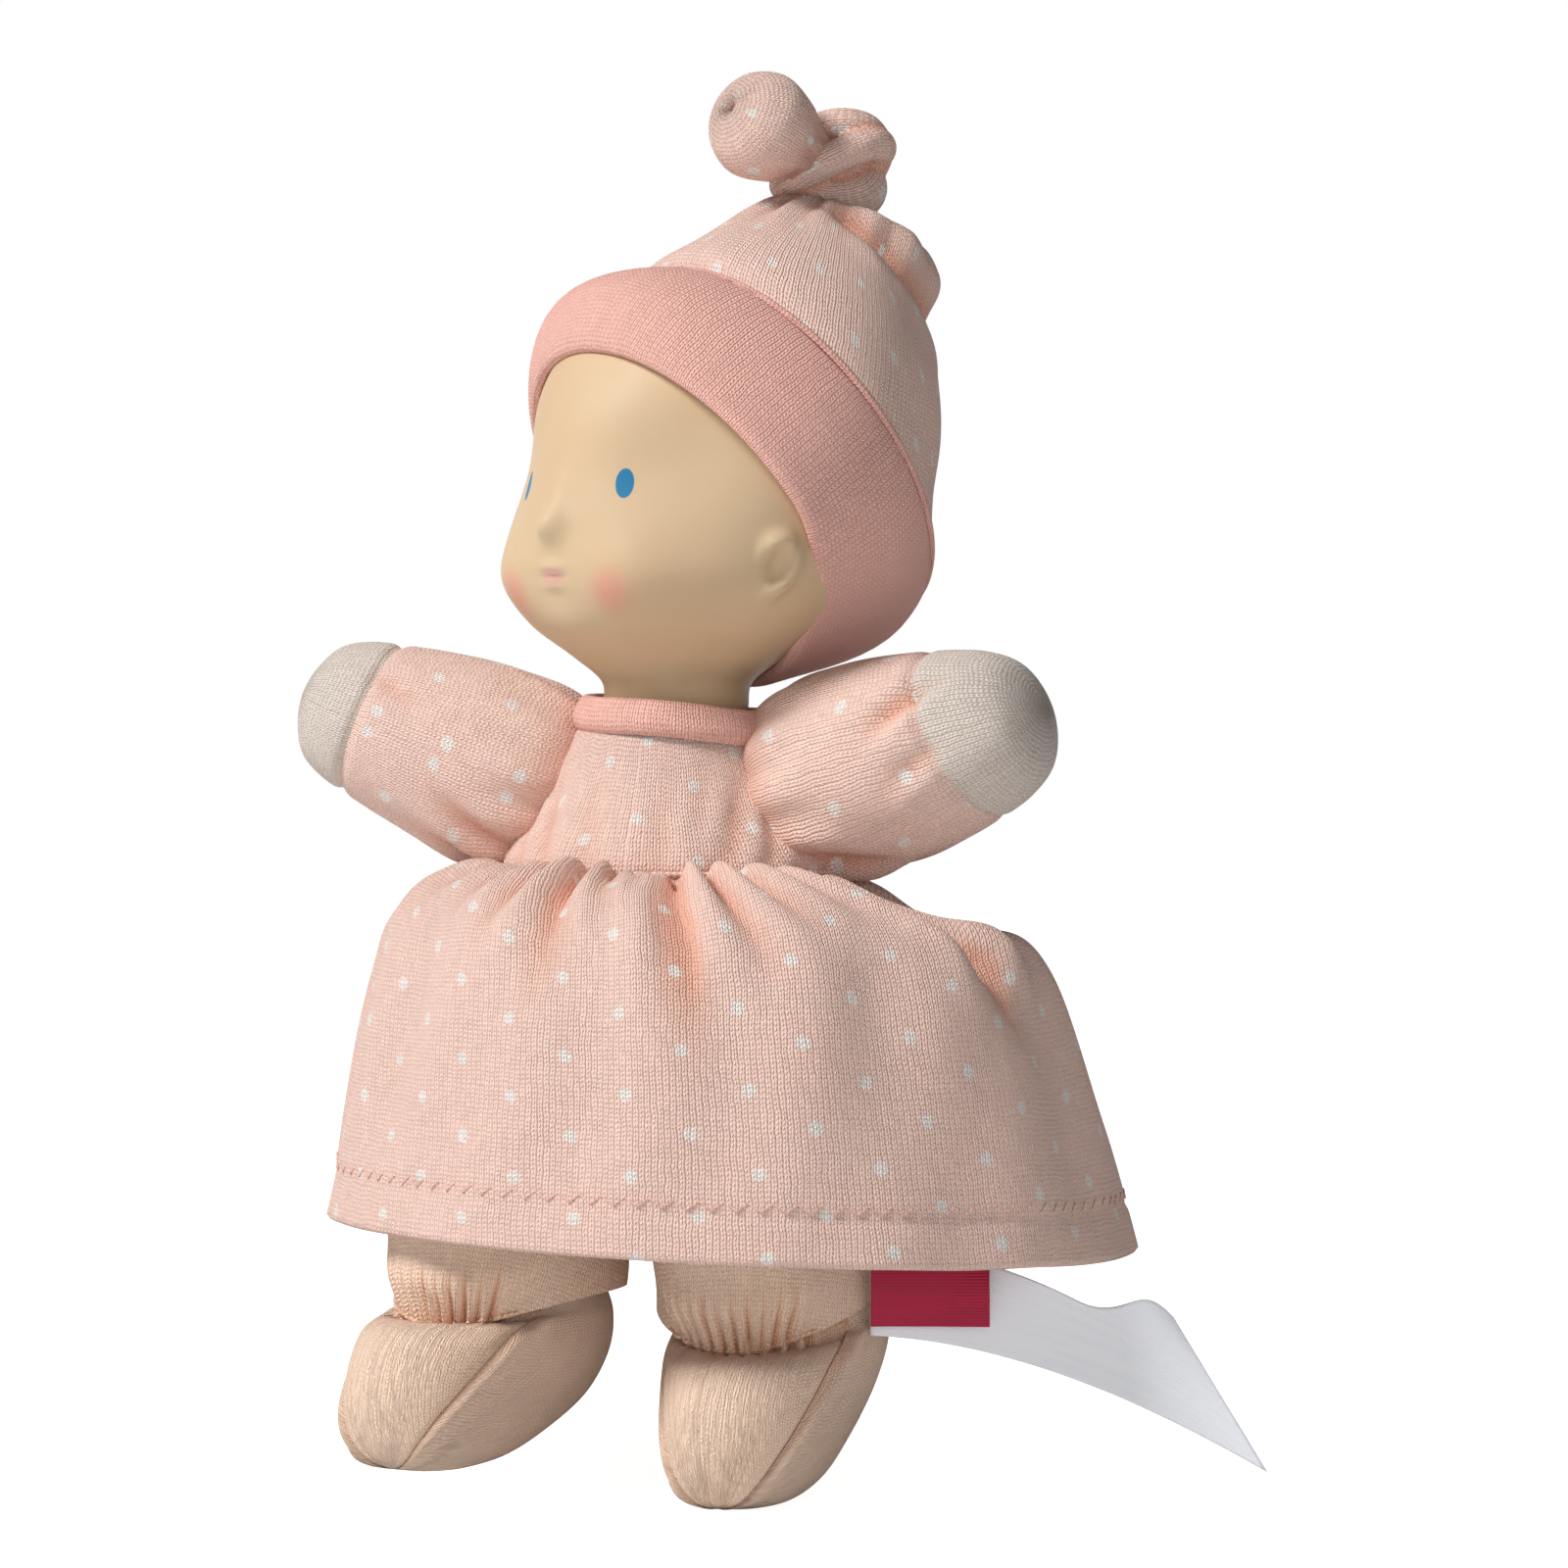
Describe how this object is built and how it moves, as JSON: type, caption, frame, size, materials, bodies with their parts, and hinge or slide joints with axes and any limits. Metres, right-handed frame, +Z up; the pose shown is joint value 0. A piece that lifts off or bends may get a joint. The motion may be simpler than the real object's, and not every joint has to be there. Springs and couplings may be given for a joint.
{
  "type": "soft doll",
  "caption": "Soft baby doll with a moulded head, knotted jersey hat, stuffed jersey arms and legs, and a gathered polka-dot dress; head, limbs and labels move.",
  "frame": {"origin": "middle of the doll's footprint box, on the floor under the toes", "axes": "+Z up, the body faces -Y, the doll's left hand is on +X"},
  "size_m": [0.1396, 0.1026, 0.1952],
  "materials": {
    "dotted_jersey": "brushed cotton jersey in pale pink with small off-white dots",
    "salmon_rib": "fine cotton rib in salmon pink",
    "cream_jersey": "cotton jersey in cream",
    "peach_jersey": "cotton jersey in peach",
    "wadding": "loose white stuffing",
    "head_rubber": "matte moulded natural rubber with a painted face",
    "sewing_thread": "sewing and gathering thread",
    "crimson_satin": "woven satin ribbon in crimson",
    "white_satin": "woven satin ribbon in white"
  },
  "bodies": {
    "torso": {"torso_filling": "wadding", "bodice_front": "dotted_jersey", "bodice_back": "dotted_jersey", "collar_band": "salmon_rib", "waist_gathering_thread": "sewing_thread", "skirt": "dotted_jersey", "lower_body_panel": "peach_jersey"},
    "neck": {"neck_plug": "wadding"},
    "head": {"head_shell": "head_rubber", "neck_tie_cord": "sewing_thread", "hat_band": "salmon_rib", "hat_crown": "dotted_jersey", "hat_knot": "dotted_jersey"},
    "hat_tail": {"hat_tail_end": "dotted_jersey"},
    "left_arm": {"left_sleeve": "dotted_jersey", "left_hand_cap": "cream_jersey", "left_arm_filling": "wadding"},
    "right_arm": {"right_sleeve": "dotted_jersey", "right_hand_cap": "cream_jersey", "right_arm_filling": "wadding"},
    "left_leg": {"left_leg_panel": "peach_jersey", "left_leg_filling": "wadding", "left_ankle_thread": "sewing_thread"},
    "right_leg": {"right_leg_panel": "peach_jersey", "right_leg_filling": "wadding", "right_ankle_thread": "sewing_thread"},
    "left_foot": {"left_toe_cap": "peach_jersey", "left_sole_panel": "peach_jersey", "left_foot_filling": "wadding"},
    "right_foot": {"right_toe_cap": "peach_jersey", "right_sole_panel": "peach_jersey", "right_foot_filling": "wadding"},
    "label_tab": {"seam_label_tab": "crimson_satin"},
    "label_ribbon": {"care_label_ribbon": "white_satin"}
  },
  "joints": [
    {"name": "neck_nod", "type": "hinge", "parent": "torso", "child": "neck", "pos_m": [-0.0149, -0.004, 0.1042], "axis": [1, 0, 0], "range_deg": [-6, 6]},
    {"name": "head_turn", "type": "hinge", "parent": "neck", "child": "head", "pos_m": [-0.0149, -0.004, 0.1042], "axis": [0, 0, 1], "range_deg": [-22, 80]},
    {"name": "hat_tail_flop", "type": "hinge", "parent": "head", "child": "hat_tail", "pos_m": [-0.00144, 0.01521, 0.18364], "axis": [0.8192, -0.5736, 0], "range_deg": [-25, 10]},
    {"name": "left_shoulder", "type": "hinge", "parent": "torso", "child": "left_arm", "pos_m": [0.0075, -0.003, 0.0966], "axis": [-0.1564, -0.9877, 0], "range_deg": [-9, 9]},
    {"name": "right_shoulder", "type": "hinge", "parent": "torso", "child": "right_arm", "pos_m": [-0.0373, -0.003, 0.0966], "axis": [-0.1564, 0.9877, 0], "range_deg": [-13, 5]},
    {"name": "left_hip", "type": "hinge", "parent": "torso", "child": "left_leg", "pos_m": [0.0025, -0.016, 0.058], "axis": [-1, 0, 0], "range_deg": [-16, 9.5]},
    {"name": "right_hip", "type": "hinge", "parent": "torso", "child": "right_leg", "pos_m": [-0.0323, -0.016, 0.058], "axis": [-1, 0, 0], "range_deg": [-23.5, 2]},
    {"name": "left_ankle", "type": "hinge", "parent": "left_leg", "child": "left_foot", "pos_m": [0.0035, -0.02241, 0.0184], "axis": [-1, 0, 0], "range_deg": [-20, 4]},
    {"name": "right_ankle", "type": "hinge", "parent": "right_leg", "child": "right_foot", "pos_m": [-0.0333, -0.02752, 0.01957], "axis": [-0.9703, 0.2419, 0], "range_deg": [-20, 4]},
    {"name": "seam_label_tab_flap", "type": "hinge", "parent": "left_leg", "child": "label_tab", "pos_m": [0.01967, -0.02251, 0.0282], "axis": [0, 0, 1], "range_deg": [-20, 0]},
    {"name": "care_label_ribbon_flap", "type": "hinge", "parent": "left_leg", "child": "label_ribbon", "pos_m": [0.01905, -0.02082, 0.0282], "axis": [0, 0, 1], "range_deg": [0, 20]}
  ]
}
